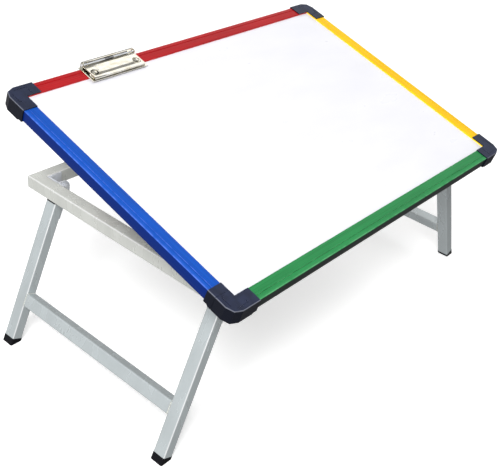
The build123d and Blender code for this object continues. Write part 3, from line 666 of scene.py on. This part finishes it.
def clip_lever(sizes, low, high, pin, rivets, hole):
    """Sprung plate of the clip: one sheet bent up at the back and rolled round the pin."""
    half = sizes.clip_sheet / 2
    roll = high.z - pin.z - half - ROLL_PLAY
    plate = low.z + PLATE_RISE
    front = low.y + half
    sheet = block("clip_lever_plate", (low.x, front, low.z), (high.x, pin.y, pin.z))
    mark(sheet, "VERT", lambda vertex: not at(vertex, y=front, z=low.z))
    bpy.ops.mesh.delete(type="VERT")
    mark(sheet, "EDGE", lambda edge: True)
    # up from the jaw, back over the rail, up again to the pin, each bend in two short facets
    steps = (
        (0, PLATE_RISE - BEND),
        (BEND * 0.3, BEND * 0.7),
        (BEND * 0.7, BEND * 0.3),
        (pin.y - roll - front - 2 * BEND, 0),
        (BEND * 0.7, BEND * 0.3),
        (BEND * 0.3, BEND * 0.7),
        (0, pin.z - plate - BEND),
    )
    for back, up in steps:
        extrude((0, back, up))
    bpy.ops.mesh.spin(steps=18, angle=math.radians(285), center=(0, pin.y, pin.z), axis=(-1, 0, 0))
    bpy.ops.object.mode_set(mode="OBJECT")
    modifier(sheet, "SOLIDIFY", thickness=sizes.clip_sheet, offset=0)
    for x, y in rivets:
        drill = primitive(
            "cutter", bpy.ops.mesh.primitive_cylinder_add,
            vertices=32, radius=hole, depth=8 * MM, location=(x, y, plate))
        carve(sheet, drill)
    modifier(
        sheet, "BEVEL", width=CLIP_CHAMFER, segments=2, limit_method="ANGLE", angle_limit=math.radians(50))
    return sheet


def hex_piece(name, start, end, flats, crown):
    """Hexagon along Y with rounded edges. Its face to -Y rises in two steps to a crown."""
    radius = flats / math.sqrt(3)
    nut = primitive(
        name, bpy.ops.mesh.primitive_cylinder_add, vertices=6, radius=radius, depth=end - start,
        location=(0, (start + end) / 2, 0), rotation=(math.radians(90), 0, 0))
    modifier(nut, "BEVEL", width=HEX_CHAMFER, segments=2, limit_method="ANGLE", angle_limit=math.radians(40))
    mark(nut, "FACE", lambda face: face.normal.y < -0.99)
    for inset, rise in ((0.14, 1.0), (0.3, 0.5)):
        bpy.ops.mesh.inset(thickness=radius * inset)
        bpy.ops.transform.translate(value=(0, -crown * rise, 0))
    bpy.ops.object.mode_set(mode="OBJECT")
    return nut


def bead(name, length, radius):
    """Weld bead along X from the origin: overlapping flattened drops."""
    drop = primitive(
        name, bpy.ops.mesh.primitive_ico_sphere_add, subdivisions=2, radius=radius, scale=(0.8, 1.0, 0.55))
    count = max(2, round(length / (radius * 0.9)))
    modifier(
        drop, "ARRAY", count=count, use_relative_offset=False, use_constant_offset=True,
        constant_offset_displace=(length / (count - 1), 0, 0))
    return drop


# ---- steps
class BoardStep:
    """What the steps share."""

    bl_options = {"REGISTER", "UNDO"}

    def sizes(self, context):
        """Sizes that the user can change."""
        return context.scene.drawing_board_sizes


class DRAWBOARD_OT_finishes(BoardStep, bpy.types.Operator):
    """Gives every carried-over CAD node the finish of its material slot"""

    bl_idname = "drawboard.finishes"
    bl_label = "Finishes"

    def execute(self, context):
        for row in frame["record"]["subparts"]:
            node, slot = NODES[row["node"]], row["material_slot"]
            # the legs get a darker, cooler copy of the frame's silver as painted shade
            if slot == "silver_tube" and "leg" in row["node"]:
                slot = "shaded_leg_tube"
            node.data.materials.clear()
            node.data.materials.append(finish_for(slot))
        return {"FINISHED"}


class DRAWBOARD_OT_rails(BoardStep, bpy.types.Operator):
    """Models the four coloured rails with their grooves and rounded outer edges"""

    bl_idname = "drawboard.rails"
    bl_label = "Rails"

    def execute(self, context):
        sizes = self.sizes(context)
        for node, slot, turn in (
            ("rail_front_green", "green_rail", 0),
            ("rail_right_yellow", "yellow_rail", 90),
            ("rail_back_red", "red_rail", 180),
            ("rail_left_blue", "blue_rail", 270),
        ):
            low, high = local_box(node, BOARD)
            length = max(high.x - low.x, high.y - low.y)
            middle = (low + high) / 2
            turned = Matrix.Rotation(math.radians(turn), 4, "Z")
            inner = turned.to_3x3() @ Vector((0, sizes.rail_width / 2, 0))
            spot = Vector((middle.x, middle.y, 0)) + inner
            bar = rail(sizes, f"{node}_extrusion", length)
            bpy.ops.object.mode_set(mode="OBJECT")
            settle(bar, BOARD @ Matrix.Translation(spot) @ turned)
            hand_over(bar, "board", slot, node)
        return {"FINISHED"}


class DRAWBOARD_OT_corner_caps(BoardStep, bpy.types.Operator):
    """Models the moulded corner cap once and puts a copy on each corner of the board"""

    bl_idname = "drawboard.corner_caps"
    bl_label = "Corner caps"

    def execute(self, context):
        sizes = self.sizes(context)
        first = corner_cap(sizes, "corner_cap_moulding")
        half_u = local_box("rail_front_green", BOARD)[1].x
        half_v = local_box("rail_left_blue", BOARD)[1].y
        for node, side_u, side_v, turn in (
            ("corner_front_left", -1, -1, 0),
            ("corner_front_right", 1, -1, 90),
            ("corner_back_right", 1, 1, 180),
            ("corner_back_left", -1, 1, 270),
        ):
            cap = copy_of(first, f"{node}_cap")
            spot = Matrix.Translation((side_u * half_u, side_v * half_v, 0))
            settle(cap, BOARD @ spot @ Matrix.Rotation(math.radians(turn), 4, "Z"), angle=20)
            hand_over(cap, "board", "corner_plastic", node)
        bpy.data.objects.remove(first, do_unlink=True)
        return {"FINISHED"}


class DRAWBOARD_OT_paper_clip(BoardStep, bpy.types.Operator):
    """Models the clip's sprung plate"""

    bl_idname = "drawboard.paper_clip"
    bl_label = "Paper clip"

    def execute(self, context):
        sizes = self.sizes(context)
        low, high = local_box("clip_lever", BOARD)
        pin = BOARD.inverted() @ Vector(JOINTS["clip_open"]["pos_m"])
        rivet_low, rivet_high = local_box("clip_rivets", BOARD)
        head = (rivet_high.y - rivet_low.y) / 2
        row = (rivet_high.y + rivet_low.y) / 2
        rivets = [(rivet_low.x + head, row), (rivet_high.x - head, row)]
        plate = clip_lever(sizes, low, high, pin, rivets, head + RIVET_PLAY)
        settle(plate, BOARD)
        hand_over(plate, "clip_lever", "clip_chrome", "clip_lever")
        return {"FINISHED"}


class DRAWBOARD_OT_pivot_bolts(BoardStep, bpy.types.Operator):
    """Models the hexagon heads and nuts of the leg pivots"""

    bl_idname = "drawboard.pivot_bolts"
    bl_label = "Pivot bolts"

    def execute(self, context):
        for side in SIDES:
            pivot = Vector(JOINTS[f"{side}_legs_fold"]["pos_m"])
            for kind, crown in (("bolts", CROWN), ("nuts", 0.0)):
                node = f"{side}_pivot_{kind}"
                low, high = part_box(node)
                flats = high.z - low.z
                made = []
                for start, end in spans(NODES[node].data, pivot, flats):
                    hexagon = hex_piece(f"{node}_hex", start + 1.5 * crown, end, flats, crown)
                    if kind == "bolts":
                        made.append(self.shank(start + SHANK_INTO_HEAD, end + SHANK_PAST_HEAD))
                    made.append(hexagon)
                piece = join(f"{node}_turned", made)
                settle(piece, Matrix.Translation((pivot.x, 0, pivot.z)))
                hand_over(piece, "base", "zinc_steel", node)
        return {"FINISHED"}

    def shank(self, start, end):
        """Round shank along Y with a rounded tip."""
        shank = primitive(
            "bolt_shank", bpy.ops.mesh.primitive_cylinder_add, vertices=32, radius=SHANK_RADIUS,
            depth=end - start, location=(0, (start + end) / 2, 0), rotation=(math.radians(90), 0, 0))
        modifier(shank, "BEVEL", width=SHANK_ROUND, segments=2, limit_method="ANGLE")
        return shank


def spans(mesh, pivot, flats):
    """Where each head or nut of a node starts and ends along Y, from its widest points."""
    rim = flats / 2 + HEX_RIM
    offsets = [(v.co.y, math.hypot(v.co.x - pivot.x, v.co.z - pivot.z)) for v in mesh.vertices]
    ys = sorted(y for y, radius in offsets if radius > rim)
    middle = (ys[0] + ys[-1]) / 2
    near, far = [y for y in ys if y < middle], [y for y in ys if y > middle]
    return [(near[0], near[-1]), (far[0], far[-1])]


class DRAWBOARD_OT_welds(BoardStep, bpy.types.Operator):
    """Lays weld beads where each crossbar meets its legs and where the guides meet the frame"""

    bl_idname = "drawboard.welds"
    bl_label = "Weld beads"

    def execute(self, context):
        radius = self.sizes(context).bead
        leg = leg_frame("front_left_foot")
        low, high = local_box("left_leg_crossbar", leg)
        upright = Matrix.Rotation(math.radians(-90), 4, "Y") @ Matrix.Rotation(math.radians(90), 4, "X")
        beads = []
        for y in (low.y, high.y):
            for x in (low.x, high.x):
                drop = bead("bead", high.z - low.z - 2 * WELD_ENDS, radius)
                settle(drop, Matrix.Translation((x, y, low.z + WELD_ENDS)) @ upright)
                beads.append(drop)
            for z in (low.z, high.z):
                drop = bead("bead", high.x - low.x - 2 * WELD_ENDS, radius)
                settle(drop, Matrix.Translation((low.x + WELD_ENDS, y, z)))
                beads.append(drop)
        left = join("left_crossbar_welds", beads)
        right = copy_of(left, "right_crossbar_welds")
        settle(left, leg)
        settle(right, MIRROR @ leg)
        for piece, body in ((left, "legs_left"), (right, "legs_right")):
            self.hand_over_weld(piece, body)
        self.guide_welds(radius)
        return {"FINISHED"}

    def hand_over_weld(self, piece, body):
        """The bead counts as painted tube, and wears its own finish."""
        hand_over(piece, body, "silver_tube")
        piece.data.materials[0] = finish_for("weld")

    def guide_welds(self, radius):
        """Upright beads in the corners between the guide bars and the end tubes."""
        turn = Matrix.Rotation(math.radians(-90), 4, "Y")
        made = []
        for node in ("guide_bar_left", "guide_bar_right"):
            low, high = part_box(node)
            for y in (low.y, high.y):
                for x in (low.x, high.x):
                    drop = bead("bead", GUIDE_WELD, radius * 0.8)
                    settle(drop, Matrix.Translation((x, y, low.z + GUIDE_WELD_FOOT)) @ turn)
                    made.append(drop)
        self.hand_over_weld(join("guide_bar_welds", made), "base")


class DRAWBOARD_OT_stage(BoardStep, bpy.types.Operator):
    """Sets up the pale floor, the soft lights and the camera"""

    bl_idname = "drawboard.stage"
    bl_label = "Stage"

    def execute(self, context):
        self.floor()
        self.world(context)
        self.lights(context)
        self.camera(context)
        context.scene.view_settings.view_transform = "Standard"
        return {"FINISHED"}

    def floor(self):
        """Pale matt floor whose faint glow keeps the shadow light."""
        floor = primitive("studio_floor", bpy.ops.mesh.primitive_plane_add, size=FLOOR_SIZE)
        glow = {"Emission Color": (1, 1, 1, 1), "Emission Strength": FLOOR_GLOW}
        finish = Finish("pale_floor", Roughness=0.9, **glow)
        cloud = finish.grain((400, 400, 400), detail=1)
        tone = finish.colours(cloud, linear("#F4F4F4"), linear("#F6F6F6"))
        floor.data.materials.append(finish.link(Base_Color=tone))
        # its bounce would flatten the shaded sides, so the studio's light alone reaches them
        floor.visible_diffuse = False
        floor.visible_glossy = False

    def world(self, context):
        """Soft surroundings: bright to the left and behind, dim in front and to the right."""
        world = bpy.data.worlds.new("studio_world")
        context.scene.world = world
        world.use_nodes = True
        tree = world.node_tree
        tree.nodes.clear()
        direction = add_node(tree, "ShaderNodeTexCoord").outputs["Generated"]
        side = add_node(
            tree, "ShaderNodeVectorMath", {0: direction, 1: SKY_BRIGHT_SIDE}, operation="DOT_PRODUCT")
        light = add_node(tree, "ShaderNodeMapRange", {
            "Value": side.outputs["Value"], "From Min": -0.9, "From Max": 0.9,
            "To Min": SKY_DIMMEST, "To Max": SKY_BRIGHTEST})
        background = add_node(
            tree, "ShaderNodeBackground", {"Color": (1, 1, 1, 1), "Strength": light.outputs[0]})
        add_node(tree, "ShaderNodeOutputWorld", {"Surface": background.outputs[0]})

    def lights(self, context):
        """Square soft lights, all turned to the middle of the object."""
        for name, place, size, power in LIGHTS:
            light = bpy.data.lights.new(name, "AREA")
            light.size = size
            light.energy = power
            lamp = bpy.data.objects.new(name, light)
            context.scene.collection.objects.link(lamp)
            lamp.location = place
            lamp.rotation_euler = (LIGHTS_AIM - Vector(place)).to_track_quat("-Z", "Y").to_euler()

    def camera(self, context):
        """Camera above the left front of the board, looking down along it."""
        lens = bpy.data.cameras.new("camera")
        lens.lens = CAMERA_LENS
        lens.sensor_width = CAMERA_SENSOR
        camera = bpy.data.objects.new("camera", lens)
        context.scene.collection.objects.link(camera)
        yaw, pitch, roll = (math.radians(angle) for angle in CAMERA_TURN)
        turn = Matrix.Rotation(-yaw, 4, "Z") @ Matrix.Rotation(math.radians(90) + pitch, 4, "X")
        turn = turn @ Matrix.Rotation(roll, 4, "Z")
        camera.matrix_world = Matrix.Translation(CAMERA_PLACE) @ turn
        context.scene.camera = camera


STEPS = (
    DRAWBOARD_OT_finishes,
    DRAWBOARD_OT_rails,
    DRAWBOARD_OT_corner_caps,
    DRAWBOARD_OT_paper_clip,
    DRAWBOARD_OT_pivot_bolts,
    DRAWBOARD_OT_welds,
    DRAWBOARD_OT_stage,
)


class DRAWBOARD_PT_panel(bpy.types.Panel):
    """Lists the steps that build the drawing board's looks"""

    bl_idname = "DRAWBOARD_PT_panel"
    bl_label = "Drawing board"
    bl_space_type = "VIEW_3D"
    bl_region_type = "UI"
    bl_category = "Drawing board"

    def draw(self, context):
        for group in (context.scene.drawing_board_sizes, context.scene.drawing_board_colours):
            for name in group.__annotations__:
                self.layout.prop(group, name)
        for step in STEPS:
            self.layout.operator(step.bl_idname)


CLASSES = (DrawingBoardSizes, DrawingBoardColours, *STEPS, DRAWBOARD_PT_panel)


def register():
    for cls in CLASSES:
        bpy.utils.register_class(cls)
    bpy.types.Scene.drawing_board_sizes = PointerProperty(type=DrawingBoardSizes)
    bpy.types.Scene.drawing_board_colours = PointerProperty(type=DrawingBoardColours)


def unregister():
    del bpy.types.Scene.drawing_board_colours
    del bpy.types.Scene.drawing_board_sizes
    for cls in reversed(CLASSES):
        bpy.utils.unregister_class(cls)


def main():
    register()
    for step in STEPS:
        group, name = step.bl_idname.split(".")
        getattr(getattr(bpy.ops, group), name)()


if __name__ == "__main__":
    main()
